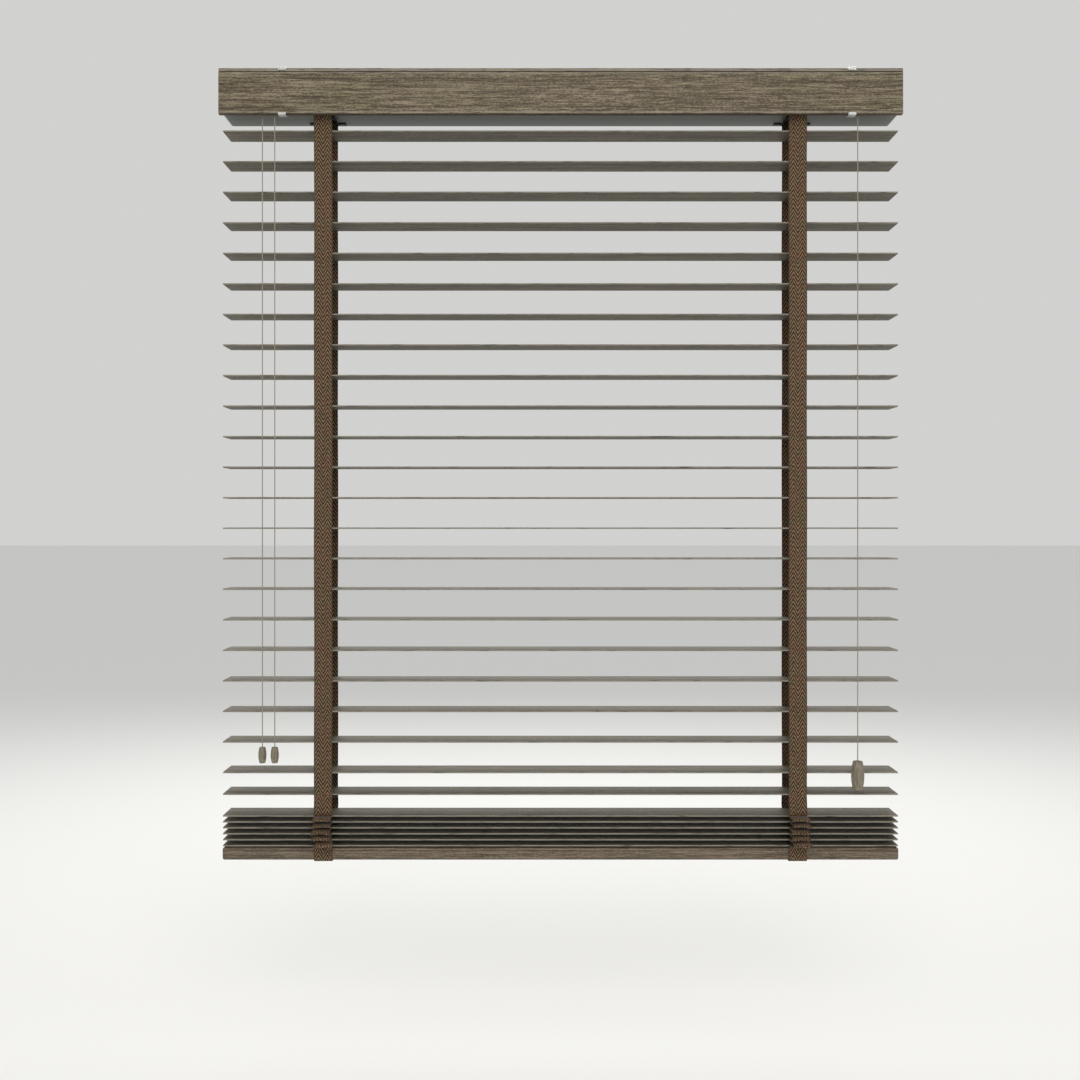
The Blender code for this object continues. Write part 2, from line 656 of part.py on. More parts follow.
# --------------------------------------------------------------- the cord lock
def make_cord_lock():
    half = LOCK_WIDTH / 2
    front = -(HEADRAIL_INSIDE - CLEARANCE)
    floor = FLOOR_Z + CLEARANCE
    top = floor + LOCK_HEIGHT
    x = LOCK_X
    wall = TILTER_WALL
    housing = box(
        "cord_lock_housing", (x - half, front, floor), (x + half, LOCK_BACK, top), BLACK_PLASTIC
    )
    nose_front = CORD_Y - NOSE_EYE_RADIUS - NOSE_WALL
    nose = box(
        "nose",
        (x - NOSE_WIDTH / 2, nose_front, NOSE_Z - NOSE_HEIGHT / 2),
        (x + NOSE_WIDTH / 2, front + wall, NOSE_Z + NOSE_HEIGHT / 2),
    )
    join(housing, nose)
    room = box(
        "roller_room",
        (x - half + wall, front + wall, floor + wall),
        (x + half - wall, LOCK_BACK - wall, 2 * top - floor),
    )
    roller_z = CORD_RUN_Z + LOCK_ROLLER_RADIUS
    journal = rod(
        "journal_hole",
        (x, front + wall / 3, roller_z),
        (x, LOCK_BACK - wall / 3, roller_z),
        LOCK_JOURNAL_RADIUS + RUNNING_GAP,
    )
    eye = rod(
        "nose_eye",
        (x, CORD_Y, NOSE_Z - NOSE_HEIGHT),
        (x, CORD_Y, NOSE_Z + NOSE_HEIGHT),
        NOSE_EYE_RADIUS,
        sides=12,
    )
    inlet = box(
        "inlet",
        (x - 2 * half, -CORD_RUN_HALF, CORD_RUN_Z - CORD_RUN_HALF),
        (x - half + 2 * wall, CORD_RUN_HALF, CORD_RUN_Z + CORD_RUN_HALF),
    )
    cut(housing, room, journal, eye, inlet)

    low, high = front + wall + RUNNING_GAP, LOCK_BACK - wall - RUNNING_GAP
    tip = wall / 2
    profile = [
        (0, high + tip),
        (LOCK_JOURNAL_RADIUS, high + tip),
        (LOCK_JOURNAL_RADIUS, high),
        (LOCK_ROLLER_RADIUS, high),
        (LOCK_ROLLER_RADIUS, low),
        (LOCK_JOURNAL_RADIUS, low),
        (LOCK_JOURNAL_RADIUS, low - tip),
        (0, low - tip),
    ]
    turned("cord_lock_roller", profile, (x, 0, roller_z), STEEL, "Y", 16)


# --------------------------------------------------------- valance and its clips
def make_valance():
    """A board with a stepped moulding along its top edge and eased edges."""
    back, front = VALANCE_BACK, VALANCE_FRONT
    top, bottom = VALANCE_TOP, VALANCE_TOP - VALANCE_HEIGHT
    ease = VALANCE_ROUNDING
    step_y = front + MOULDING_DEPTH
    step_z = top - MOULDING_HEIGHT
    outline = [(back, bottom), (back, top)]
    outline += arc((step_y + ease, top - ease), ease, 90, 180, 4)
    outline += [(step_y, step_z)]
    outline += arc((front + MOULDING_EDGE, step_z - MOULDING_EDGE), MOULDING_EDGE, 90, 180, 3)
    outline += arc((front + ease, bottom + ease), ease, 180, 270, 4)
    bar("valance", outline, -VALANCE_LENGTH / 2, VALANCE_LENGTH / 2, TRIM_WOOD)


def make_valance_clip(name, x):
    """A clear clip that hooks over the channel's front lip and holds the board's edges."""
    wall, gap = CLIP_WALL, CLEARANCE
    spine_front = VALANCE_BACK + gap
    spine_back = spine_front + wall
    top, bottom = VALANCE_TOP + gap, VALANCE_TOP - VALANCE_HEIGHT - gap
    jaw = VALANCE_FRONT - gap
    hook_low = HEADRAIL_TOP + gap
    hook_tip = HEADRAIL_FRONT + HEADRAIL_LIP + gap
    foot = HEADRAIL_BOTTOM + CLIP_FOOT_RISE
    outline = [
        (jaw - wall, top + wall),
        (jaw - wall, top - MOULDING_DEPTH - CLIP_LIP),
        (jaw, top - MOULDING_DEPTH - CLIP_LIP),
        (jaw, top),
        (spine_front, top),
        (spine_front, bottom),
        (jaw, bottom),
        (jaw, bottom + CLIP_LIP),
        (jaw - wall, bottom + CLIP_LIP),
        (jaw - wall, bottom - wall),
        (spine_back, bottom - wall),
        (spine_back, foot - wall),
        (HEADRAIL_FRONT - gap, foot - wall),
        (HEADRAIL_FRONT - gap, foot),
        (spine_back, foot),
        (spine_back, hook_low),
        (hook_tip, hook_low),
        (hook_tip, hook_low - HEADRAIL_WALL - CLIP_LIP),
        (hook_tip + wall, hook_low - HEADRAIL_WALL - CLIP_LIP),
        (hook_tip + wall, hook_low + wall),
        (spine_back, hook_low + wall),
        (spine_back, top + wall),
    ]
    half = CLIP_WIDTH / 2
    bar(name, outline, x - half, x + half, CLEAR_PLASTIC)


# -------------------------------------------------------------- tapes and cords
def make_tape(name, side, face):
    """One tape of a ladder; face is -1 on the room side and 1 on the window side."""
    inner = face * (TAPE_Y - TAPE_THICKNESS / 2)
    outer = face * (TAPE_Y + TAPE_THICKNESS / 2)
    turn_in = face * (TAPE_Y - TAPE_FOOT)
    top = ROD_Z + 2 * TAPE_THICKNESS
    under = RAIL_BOTTOM - CLEARANCE
    outline = [
        (outer, top),
        (inner, top),
        (inner, under),
        (turn_in, under),
        (turn_in, under - TAPE_THICKNESS),
        (outer, under - TAPE_THICKNESS),
    ]
    x = side * TAPE_X
    half = TAPE_WIDTH / 2
    bar(name, outline, x - half, x + half, TAPE_FABRIC)


def make_tassel(name, x, top, height, radius):
    """A turned wooden acorn with flat ends and a swollen middle."""
    eye = CORD_DIAMETER
    side_height = height / 2 - CORD_RADIUS
    profile = [(0, height / 2), (eye, height / 2)]
    steps = 8
    for i in range(steps + 1):
        angle = TASSEL_SWELL * (1 - 2 * i / steps)
        bulge = (cos(angle) - cos(TASSEL_SWELL)) / (1 - cos(TASSEL_SWELL))
        across = radius * (TASSEL_END + (1 - TASSEL_END) * bulge)
        profile.append((across, side_height * sin(angle) / sin(TASSEL_SWELL)))
    profile += [(eye, -height / 2), (0, -height / 2)]
    turned(name, profile, (x, CORD_Y, top - height / 2), TASSEL_WOOD)


def make_tilt_cord(name, side):
    """From the top of the pulley, down one side of it and on to its tassel."""
    end = TILT_TASSEL_TOP + CLEARANCE
    stop = 90 - side * CLEARANCE / PULLEY_RADIUS * 180 / pi
    around = arc((TILTER_X, WORM_Z), PULLEY_RADIUS, stop, 90 - side * 90, 10)
    line = [(x, CORD_Y, z) for x, z in around]
    x = TILTER_X + side * PULLEY_RADIUS
    steps = 12
    for i in range(1, steps + 1):
        line.append((x, CORD_Y, WORM_Z + (end - WORM_Z) * i / steps))
    cord(name, line)


def make_pull_cord():
    """From inside the cord lock's nose down to the lift tassel."""
    end = LIFT_TASSEL_TOP + CLEARANCE
    steps = 12
    line = [(LOCK_X, CORD_Y, NOSE_Z + (end - NOSE_Z) * i / steps) for i in range(steps + 1)]
    cord("lift_pull_cord", line)


def make_lift_cord(name, side):
    """From inside the bottom rail up through the slats, then along to the cord lock."""
    x = side * TAPE_X
    end_x = LOCK_X - LOCK_WIDTH / 2 + TILTER_WALL
    run_y = -side * CORD_RUN_SPREAD
    low = RAIL_BOTTOM + CORD_END_RISE
    bend_z = CORD_RUN_Z - CORD_BEND
    steps = 20
    line = [(x, 0, low + (bend_z - low) * i / steps) for i in range(steps)]
    for across, up in arc((CORD_BEND, 0), CORD_BEND, 180, 90, 5):
        line.append((x + across, run_y * across / CORD_BEND, bend_z + up))
    line.append((end_x, run_y, CORD_RUN_Z))
    cord(name, line)


def main():
    make_slats()
    make_bottom_rail()
    make_headrail()
    make_tilt_rod()
    for name, side in (("left", -1), ("right", 1)):
        make_end_cap(f"end_cap_{name}", side)
        make_bracket(f"bracket_{name}", side)
        make_rocker(f"tape_rocker_{name}", side)
        make_cradle(f"cradle_{name}", side)
        make_tape(f"tape_front_{name}", side, -1)
        make_tape(f"tape_back_{name}", side, 1)
        make_lift_cord(f"lift_cord_{name}", side)
        make_tilt_cord(f"tilt_cord_{name}", side)
        x = TILTER_X + side * PULLEY_RADIUS
        size = (TILT_TASSEL_TOP, TILT_TASSEL_HEIGHT, TILT_TASSEL_RADIUS)
        make_tassel(f"tilt_tassel_{name}", x, *size)
    make_tilter_gear()
    make_tilter_worm()
    make_tilter_housing()
    make_cord_lock()
    make_valance()
    rim = TILTER_X + PULLEY_RADIUS + PULLEY_RIM
    make_valance_clip("valance_clip_left", rim + CLIP_FROM_RIM + CLIP_WIDTH / 2)
    nose = LOCK_X - NOSE_WIDTH / 2
    make_valance_clip("valance_clip_right", nose - CLIP_FROM_NOSE - CLIP_WIDTH / 2)
    make_tassel("lift_tassel", LOCK_X, LIFT_TASSEL_TOP, LIFT_TASSEL_HEIGHT, LIFT_TASSEL_RADIUS)
    make_pull_cord()


main()
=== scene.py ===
"""The finish of a wooden venetian blind: its woods, woven tapes, cords and fittings.

Sizes are in metres. X runs along the slats, Y towards the window and Z up from the
lintel that the blind hangs from, so the room side faces -Y.
"""

import json
from math import cos, pi, radians, sin

import bpy
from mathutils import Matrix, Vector


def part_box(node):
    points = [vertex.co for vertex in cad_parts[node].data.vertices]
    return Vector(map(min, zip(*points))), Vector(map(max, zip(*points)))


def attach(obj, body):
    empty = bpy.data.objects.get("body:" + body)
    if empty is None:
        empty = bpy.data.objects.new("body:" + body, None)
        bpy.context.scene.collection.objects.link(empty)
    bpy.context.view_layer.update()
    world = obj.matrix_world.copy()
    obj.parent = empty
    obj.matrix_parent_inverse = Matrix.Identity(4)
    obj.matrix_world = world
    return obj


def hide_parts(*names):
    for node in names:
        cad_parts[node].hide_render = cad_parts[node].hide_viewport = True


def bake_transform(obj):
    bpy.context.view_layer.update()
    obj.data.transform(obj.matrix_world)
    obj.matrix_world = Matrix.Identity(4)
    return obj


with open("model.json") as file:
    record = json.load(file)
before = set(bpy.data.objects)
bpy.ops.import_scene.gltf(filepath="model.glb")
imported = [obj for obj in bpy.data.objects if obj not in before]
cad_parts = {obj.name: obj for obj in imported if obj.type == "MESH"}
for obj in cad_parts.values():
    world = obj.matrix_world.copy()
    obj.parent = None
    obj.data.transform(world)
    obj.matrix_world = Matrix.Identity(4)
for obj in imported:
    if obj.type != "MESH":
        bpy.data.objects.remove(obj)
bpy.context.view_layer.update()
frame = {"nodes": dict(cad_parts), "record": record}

SLATS = [f"slat_{number:02d}" for number in range(1, 30)]
SIDES = (("left", -1), ("right", 1))


def middle(node):
    low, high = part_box(node)
    return (low + high) / 2


SLAT_Z = [middle(name).z for name in SLATS]
SLAT_HALF_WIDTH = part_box("slat_01")[1][1]
TAPE_X = middle("tape_front_right").x
TAPE_Y = 0.026
TAPE_WIDTH = 0.026
TAPE_THICKNESS = 0.0009
SLAT_PITCH = 0.044
LAST_SPREAD, FIRST_STACKED = SLAT_Z[22], SLAT_Z[23]
RAIL_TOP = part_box("bottom_rail")[1][2]
RAIL_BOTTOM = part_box("bottom_rail")[0][2]
HEADRAIL_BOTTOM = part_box("headrail")[0][2]
CORD_RADIUS = 0.0007
BOARD_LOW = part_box("valance")[0][2]
BAND_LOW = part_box("valance")[1][2] - 0.0046
GROOVE_HEIGHT = 0.0012

# The weaves: how far apart the tape's twill lines, wefts and the rungs' threads lie, how
# steeply the twill climbs, and the length in which the cord's strands go once round it.
TWILL_PITCH = 0.0064
TWILL_CLIMB = 0.0225
WEFT_PITCH = 0.0012
WARPS = 18
RUNG_WEFT, RUNG_WARP = 0.0009, 0.0007
BRAID_LAY = 0.0032


# ------------------------------------------------------------ camera and studio
def set_camera():
    lens = bpy.data.cameras.new("camera")
    lens.sensor_width = 36
    lens.lens = 41.70
    lens.shift_y = -0.0162
    camera = bpy.data.objects.new("camera", lens)
    camera.location = (-0.0295, -1.826, -0.650)
    camera.rotation_euler = (radians(90), 0, 0)
    bpy.context.scene.collection.objects.link(camera)
    bpy.context.scene.camera = camera


def soft_light(name, place, aim, size, power, colour):
    lamp = bpy.data.lights.new(name, "AREA")
    lamp.shape = "RECTANGLE"
    lamp.size, lamp.size_y = size
    lamp.energy = power
    lamp.color = colour
    holder = bpy.data.objects.new(name, lamp)
    holder.location = place
    holder.rotation_euler = (Vector(aim) - Vector(place)).to_track_quat("-Z", "Y").to_euler()
    bpy.context.scene.collection.objects.link(holder)


def set_studio():
    scene = bpy.context.scene
    scene.view_settings.view_transform = "Standard"
    world = bpy.data.worlds.new("studio")
    world.use_nodes = True
    sky = world.node_tree.nodes["Background"]
    sky.inputs["Color"].default_value = (0.97, 0.97, 0.96, 1)
    sky.inputs["Strength"].default_value = 0.66
    scene.world = world
    soft_light("window_light", (0, 1.9, 1.0), (0, 0, -0.6), (3.0, 1.6), 46, (1.0, 0.99, 0.97))
    soft_light("room_light", (0.15, -2.4, 0.6), (0, 0, -0.5), (1.8, 1.4), 24, (1.0, 0.97, 0.92))
    deselect()
    bpy.ops.mesh.primitive_plane_add(size=80, location=(0, 0, -1.42))
    floor = bpy.context.object
    floor.name = "floor"
    paint = Finish("floor_paint")
    paint.set({"Base Color": (0.86, 0.86, 0.85, 1), "Roughness": 0.9})
    dress(floor, paint)


# ------------------------------------------------------------------- materials
class Value:
    """A node's output, with arithmetic that adds Math nodes to the same material."""

    def __init__(self, finish, socket):
        self.finish, self.socket = finish, socket

    def maths(self, operation, *operands):
        return self.finish.node("Math", {"operation": operation}, dict(enumerate(operands)))

    def __add__(self, other):
        return self.maths("ADD", self, other)

    def __sub__(self, other):
        return self.maths("SUBTRACT", self, other)

    def __rsub__(self, other):
        return self.maths("SUBTRACT", other, self)

    def __mul__(self, other):
        return self.maths("MULTIPLY", self, other)

    def __truediv__(self, other):
        return self.maths("DIVIDE", self, other)

    def __mod__(self, other):
        return self.maths("FLOORED_MODULO", self, other)

    def __abs__(self):
        return self.maths("ABSOLUTE", self)

    __radd__, __rmul__ = __add__, __mul__


class Finish:
    """A material in the making."""

    def __init__(self, name):
        self.material = bpy.data.materials.new(name)
        self.material.use_nodes = True
        self.tree = self.material.node_tree
        self.surface = self.tree.nodes["Principled BSDF"]

    def node(self, kind, settings, inputs, output=0):
        """Adds a node with its settings and then its inputs, and gives one of its outputs."""
        made = self.tree.nodes.new("ShaderNode" + kind)
        for name, value in settings.items():
            if name == "stops":
                self.set_stops(made.color_ramp, value)
            else:
                setattr(made, name, value)
        for name, value in inputs.items():
            self.feed(made.inputs[name], value)
        return Value(self, made.outputs[output])

    def set_stops(self, ramp, stops):
        ramp.elements[0].position = stops[0][0]
        ramp.elements[1].position = stops[-1][0]
        for position, _ in stops[1:-1]:
            ramp.elements.new(position)
        for element, (_, colour) in zip(ramp.elements, stops):
            element.color = (*colour, 1)

    def feed(self, socket, value):
        if isinstance(value, Value):
            self.tree.links.new(value.socket, socket)
        else:
            socket.default_value = value

    def set(self, inputs):
        for name, value in inputs.items():
            self.feed(self.surface.inputs[name], value)

    def place(self):
        """The x, y and z of a point on the piece."""
        point = self.node("TexCoord", {}, {}, "Object")
        return [self.node("SeparateXYZ", {}, {"Vector": point}, i) for i in range(3)]

    def across_and_along(self):
        """The piece's own map: across a tape or round a cord, and along it."""
        point = self.node("UVMap", {"uv_map": "weave"}, {})
        return [self.node("SeparateXYZ", {}, {"Vector": point}, i) for i in range(2)]

    def vector(self, x, y, z):
        return self.node("CombineXYZ", {}, {"X": x, "Y": y, "Z": z})

    def noise(self, point, scale, detail=4.0, roughness=0.55):
        inputs = {"Vector": point, "Scale": scale, "Detail": detail, "Roughness": roughness}
        return self.node("TexNoise", {}, inputs)

    def ease(self, value, low, high):
        """0 below low, 1 above high and smooth in between."""
        inputs = {"Value": value, "From Min": low, "From Max": high}
        return self.node("MapRange", {"interpolation_type": "SMOOTHSTEP"}, inputs)

    def ramp(self, value, stops):
        return self.node("ValToRGB", {"stops": stops}, {"Fac": value})

    def mix(self, share, first, second, blend="MIX"):
        settings = {"data_type": "RGBA", "blend_type": blend}
        return self.node("Mix", settings, {"Factor": share, "A": first, "B": second}, 2)

    def bump(self, height, depth, strength=1.0):
        inputs = {"Height": height, "Distance": depth, "Strength": strength}
        return self.node("Bump", {}, inputs)


def wood(name, tones, drift, edge=None, painted_shade=None):
    """Stained, wire-brushed wood whose grain runs along X."""
    finish = Finish(name)
    x, y, z = finish.place()
    sway = finish.noise(finish.vector(x * 3.1, y * 10, z * 15), 1, 2)
    across, up = y + sway * 0.0045, z + sway * 0.0045
    streaks = finish.noise(finish.vector(x * 7, across * 430, up * 430), 1, 2, 0.5)
    dashes = finish.noise(finish.vector(x * 48, across * 760, up * 760), 1, 2, 0.5)
    grains = finish.noise(finish.vector(x * 260, across * 620, up * 620), 1, 1)
    bands = finish.noise(finish.vector(x * 2.2, across * 75, up * 75), 1, 2)
    cloud = finish.noise(finish.vector(x * 7, y * 14, z * 23), 1, 3)
    tone = streaks * 0.30 + dashes * 0.32 + grains * 0.26 + bands * 0.12
    colour = finish.ramp(finish.ease(tone, 0.385, 0.615), list(zip((0, 0.5, 1), tones)))
    colour = finish.mix(finish.ease(cloud, 0.35, 0.68), colour, drift, "MULTIPLY")
    pores = finish.noise(finish.vector(x * 22, across * 900, up * 900), 1, 1)
    pore = finish.ease(pores, 0.58, 0.70)
    colour = finish.mix(pore * 0.8, colour, (0.40, 0.36, 0.32, 1), "MULTIPLY")
    if edge:
        # Painted highlight on the edges that the mask picks out, broken up where the dashes are
        # dark.
        painted_highlight = edge(finish, y, z) * finish.ease(dashes, 0.25, 0.5)
        colour = finish.mix(painted_highlight, colour, (0.32, 0.295, 0.245, 1))
    if painted_shade:
        # Painted shade, multiplied in where the mask picks it out.
        colour = finish.mix(painted_shade(finish, z), colour, (0.30, 0.26, 0.22, 1), "MULTIPLY")
    finish.set({
        "Base Color": colour,
        "Roughness": 0.52 + dashes * 0.2,
        "Normal": finish.bump(tone - pore * 0.5, 0.0003, 0.6),
        "Specular IOR Level": 0.35,
    })
    return finish


def slat_edge_highlight(finish, y, z):
    """A painted highlight along a slat's two long edges, where their rounding catches the light.
    """
    return finish.ease(abs(y), SLAT_HALF_WIDTH - 0.0014, SLAT_HALF_WIDTH - 0.0005) * 0.8


def board_highlights(finish, y, z):
    """Painted highlights on the valance's moulding, on the lip under its groove and along its
    lower edge.
    """
    moulding = finish.ease(z, BAND_LOW - 0.0002, BAND_LOW + 0.0002) * 0.55
    lip = finish.ease(abs(z - (BAND_LOW - GROOVE_HEIGHT - 0.0012)) * -1, -0.0014, -0.0005) * 0.5
    lower = finish.ease(abs(z - (BOARD_LOW + 0.0026)) * -1, -0.0014, -0.0005) * 0.6
    return moulding + lip + lower


def board_shade(finish, z):
    """Painted shade in the valance's groove and along its lower edge."""
    groove = finish.ease(abs(z - (BAND_LOW - GROOVE_HEIGHT / 2)) * -1, -0.0010, -0.0005)
    lower = finish.ease(BOARD_LOW - z, -0.0013, -0.0006)
    return groove * 0.9 + lower * 0.7


def turned_wood():
    finish = Finish("tassel_wood")
    x, y, z = finish.place()
    rings = finish.noise(finish.vector(x * 700, y * 700, z * 40), 1, 4, 0.6)
    flecks = finish.noise(finish.vector(x * 1700, y * 1700, z * 130), 1, 2)
    tones = [
        (0.0, (0.125, 0.103, 0.066)),
        (0.5, (0.205, 0.178, 0.122)),
        (1.0, (0.300, 0.268, 0.195)),
    ]
    colour = finish.ramp(finish.ease(rings, 0.3, 0.7), tones)
    fleck = finish.ease(flecks, 0.62, 0.72)
    colour = finish.mix(fleck * 0.6, colour, (0.5, 0.45, 0.4, 1), "MULTIPLY")
    finish.set({
        "Base Color": colour,
        "Roughness": 0.36 + rings * 0.2,
        "Normal": finish.bump(rings - fleck, 0.0001, 0.5),
        "Coat Weight": 0.2,
        "Coat Roughness": 0.25,
    })
    return finish


def enamel():
    """Dark olive-grey stoved enamel with a slight orange peel and settled dust."""
    finish = Finish("headrail_paint")
    x, y, z = finish.place()
    point = finish.vector(x, y, z)
    peel = finish.noise(point, 900, 2)
    dust = finish.noise(finish.vector(x * 40, y * 120, z * 120), 1, 5, 0.75)
    colour = finish.ramp(dust, [(0.3, (0.092, 0.097, 0.081)), (0.75, (0.118, 0.122, 0.103))])
    finish.set({
        "Base Color": colour,
        "Roughness": 0.30 + dust * 0.25,
        "Normal": finish.bump(peel, 0.00005, 0.5),
    })
    return finish


def plated_steel():
    """Zinc plate with faint spangles and drawn lines."""
    finish = Finish("zinc_steel")
    x, y, z = finish.place()
    point = finish.vector(x, y, z)
    spangle = finish.node("TexVoronoi", {}, {"Vector": point, "Scale": 320}, "Color")
    spangle = finish.node("SeparateColor", {}, {"Color": spangle})
    drawn = finish.noise(finish.vector(x * 90, y * 2600, z * 2600), 1, 3)
    tone = spangle * 0.5 + drawn * 0.5
    colour = finish.ramp(tone, [(0.2, (0.30, 0.31, 0.32)), (0.8, (0.46, 0.47, 0.48))])
    finish.set({
        "Base Color": colour,
        "Metallic": 1.0,
        "Roughness": 0.26 + tone * 0.2,
        "Normal": finish.bump(drawn, 0.00002, 0.6),
    })
    return finish


def moulded_black():
    finish = Finish("black_plastic")
    x, y, z = finish.place()
    point = finish.vector(x, y, z)
    sparks = finish.noise(point, 2600, 2)
    scuffs = finish.noise(point, 130, 5, 0.7)
    colour = finish.ramp(scuffs, [(0.35, (0.016, 0.016, 0.017)), (0.75, (0.040, 0.039, 0.037))])
    finish.set({
        "Base Color": colour,
        "Roughness": 0.38 + scuffs * 0.3,
        "Normal": finish.bump(sparks, 0.00006, 0.6),
    })
    return finish


def clear_moulding():
    """Clear polycarbonate, slightly milky where it was cooled."""
    finish = Finish("clear_plastic")
    x, y, z = finish.place()
    flow = finish.noise(finish.vector(x * 220, y * 90, z * 90), 1, 3)
    colour = finish.ramp(flow, [(0.3, (0.80, 0.81, 0.80)), (0.8, (0.95, 0.95, 0.94))])
    finish.set({
        "Base Color": colour,
        "Roughness": 0.10 + flow * 0.14,
        "IOR": 1.58,
        "Transmission Weight": 0.45,
        "Normal": finish.bump(flow, 0.00008, 0.4),
    })
    return finish


def herringbone():
    """Brown tape woven in a herringbone with golden threads; v is metres along the tape."""
    finish = Finish("tape_fabric")
    u, v = finish.across_and_along()
    loose = finish.noise(finish.vector(u * 0.025, v, 0), 520, 2) * 0.0042
    zigzag = abs(((u * 2) % 1) - 0.5) * TWILL_CLIMB
    twill = ((v - zigzag + loose) / TWILL_PITCH) % 1
    floats = finish.ease(finish.noise(finish.vector(u * 0.05, v, 0), 640, 1), 0.36, 0.58)
    ridge = finish.ease(1 - abs(twill - 0.5) * 2, 0.20, 0.85) * (floats * 0.5 + 0.6)
    weft = 1 - abs(((v / WEFT_PITCH) % 1) - 0.5) * 2
    warp = 1 - abs(((u * WARPS) % 1) - 0.5) * 2
    selvedge = finish.ease(abs(u - 0.5), 0.435, 0.455)
    fuzz = finish.noise(finish.vector(u * 0.025, v, 0), 1500, 3, 0.6)
    patch = finish.noise(finish.vector(u * 0.05, v, 0), 46, 3)
    body = ridge * 0.62 + warp * 0.10 + weft * 0.06 + fuzz * 0.30
    tone = body * (1 - selvedge) + (weft * 0.25 + fuzz * 0.4 + 0.16) * selvedge
    browns = [
        (0.18, (0.013, 0.008, 0.005)),
        (0.38, (0.048, 0.029, 0.017)),
        (0.62, (0.118, 0.072, 0.040)),
        (0.88, (0.290, 0.190, 0.104)),
    ]
    colour = finish.ramp(tone, browns)
    ruddy, golden = (1.12, 0.93, 0.90, 1), (0.94, 1.04, 0.88, 1)
    dye = finish.mix(finish.ease(patch, 0.35, 0.65), ruddy, golden)
    colour = finish.mix(1.0, colour, dye, "MULTIPLY")
    height = ridge * 0.6 + weft * 0.2 + warp * 0.2
    finish.set({
        "Base Color": colour,
        "Roughness": 0.95 - ridge * 0.2,
        "Normal": finish.bump(height, 0.0005, 0.8),
        "Sheen Weight": 0.15,
        "Sheen Roughness": 0.4,
    })
    return finish


def plain_weave():
    """The narrow rungs that join the two tapes of a ladder."""
    finish = Finish("rung_fabric")
    x, y, z = finish.place()
    threads = 1 - abs(((y / RUNG_WEFT) % 1) - 0.5) * 2
    cross = 1 - abs(((x / RUNG_WARP) % 1) - 0.5) * 2
    fuzz = finish.noise(finish.vector(x, y, z), 2600, 3)
    tone = threads * 0.4 + cross * 0.25 + fuzz * 0.4
    colour = finish.ramp(tone, [(0.25, (0.040, 0.024, 0.015)), (0.85, (0.190, 0.122, 0.070))])
    finish.set({
        "Base Color": colour,
        "Roughness": 0.92,
        "Normal": finish.bump(threads + cross, 0.00015, 0.7),
    })
    return finish


def braid():
    """Beige braided cord; u goes once round it and v is metres along it."""
    finish = Finish("cord_fabric")
    u, v = finish.across_and_along()
    right = ((u * 3 + v / BRAID_LAY) % 1) - 0.5
    left = ((u * 3 - v / BRAID_LAY) % 1) - 0.5
    strands = 1 - abs(right) * abs(left) * 4
    fuzz = finish.noise(finish.vector(u * 0.0044, v, 0), 3200, 3)
    soil = finish.noise(finish.vector(0, v, 0), 9, 3)
    tone = strands * 0.55 + fuzz * 0.3 + soil * 0.15
    tones = [(0.30, (0.13, 0.110, 0.078)), (0.62, (0.29, 0.255, 0.190)), (0.9, (0.44, 0.39, 0.30))]
    finish.set({
        "Base Color": finish.ramp(tone, tones),
        "Roughness": 0.88,
        "Normal": finish.bump(strands, 0.0002, 0.7),
        "Sheen Weight": 0.3,
        "Sheen Roughness": 0.4,
    })
    return finish


# --------------------------------------------------------------------- helpers
def deselect():
    if bpy.context.object and bpy.context.object.mode == "EDIT":
        bpy.ops.object.mode_set(mode="OBJECT")
    bpy.ops.object.select_all(action="DESELECT")


def hold(piece):
    """Selects one piece and nothing else, and makes it the active one."""
    deselect()
    piece.select_set(True)
    bpy.context.view_layer.objects.active = piece


def dress(piece, finish):
    piece.data.materials.clear()
    piece.data.materials.append(finish.material)


def settle(piece, name, finish, body=None):
    """Names a piece, moves its place into its mesh, and gives it its finish and its body."""
    hold(piece)
    bpy.ops.object.transform_apply(location=True, rotation=True, scale=True)
    piece.name = piece.data.name = name
    dress(piece, finish)
    if body:
        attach(piece, body)
    return piece


def apply_all(piece):
    hold(piece)
    for modifier in list(piece.modifiers):
        bpy.ops.object.modifier_apply(modifier=modifier.name)


def smooth(piece, angle=40):
    hold(piece)
    bpy.ops.object.shade_smooth_by_angle(angle=radians(angle))


def lathe(centre, profile, sides):
    """A turned piece: a ring is extruded from each (radius, height) to the next, from the top."""
    deselect()
    radius, height = profile[0]
    place = Vector(centre) + Vector((0, 0, height))
    bpy.ops.mesh.primitive_circle_add(
        vertices=sides, radius=radius, fill_type="NGON", location=place
    )
    piece = bpy.context.object
    bpy.ops.object.mode_set(mode="EDIT")
    bpy.ops.mesh.select_all(action="SELECT")
    for next_radius, next_height in profile[1:]:
        bpy.ops.mesh.extrude_region_move(
            TRANSFORM_OT_translate={"value": (0, 0, next_height - height)}
        )
        share = next_radius / radius
        pivot = Vector(centre) + Vector((0, 0, next_height))
        bpy.ops.transform.resize(value=(share, share, 1), center_override=pivot)
        radius, height = next_radius, next_height
    bpy.ops.mesh.select_all(action="SELECT")
    bpy.ops.mesh.normals_make_consistent(inside=False)
    bpy.ops.object.mode_set(mode="OBJECT")
    return piece


def block(low, high, rounding, segments=2):
    """A box between two corners with its edges rounded."""
    deselect()
    low, high = Vector(low), Vector(high)
    bpy.ops.mesh.primitive_cube_add(size=1, location=(low + high) / 2, scale=high - low)
    piece = bpy.context.object
    bpy.ops.object.transform_apply(location=False, rotation=False, scale=True)
    if rounding:
        bpy.ops.object.mode_set(mode="EDIT")
        bpy.ops.mesh.select_all(action="SELECT")
        bpy.ops.mesh.bevel(offset=rounding, segments=segments, affect="EDGES")
        bpy.ops.object.mode_set(mode="OBJECT")
    return piece


def joined(pieces):
    deselect()
    for piece in pieces:
        piece.select_set(True)
    bpy.context.view_layer.objects.active = pieces[0]
    bpy.ops.object.join()
    return pieces[0]


